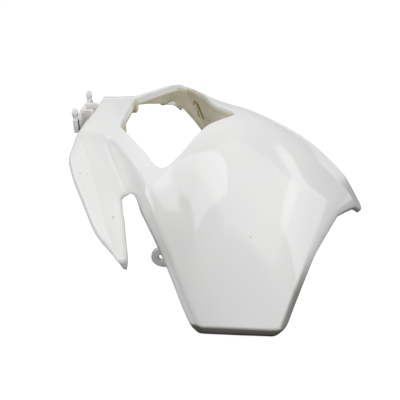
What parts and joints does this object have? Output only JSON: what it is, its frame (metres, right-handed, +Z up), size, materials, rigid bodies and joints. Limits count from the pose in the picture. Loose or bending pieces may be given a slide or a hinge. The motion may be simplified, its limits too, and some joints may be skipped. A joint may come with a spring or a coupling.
{
  "type": "headlight cover",
  "caption": "Moulded motorbike headlight cover with a lamp opening, swept side panels, a pointed tail, forward wings, bolt lugs and a hooked chin bar.",
  "frame": {"origin": "middle of the overall box in plan, level with the straight lower edges of the side panels", "axes": "+X from the chin bar to the tail tip, +Y across the cover, +Z up through the lamp opening"},
  "size_m": [0.2688, 0.3082, 0.134],
  "materials": {
    "white_plastic": "gloss outside, raw and cream inside"
  },
  "bodies": {
    "root": {"headlight_cover": "white_plastic"}
  },
  "joints": []
}
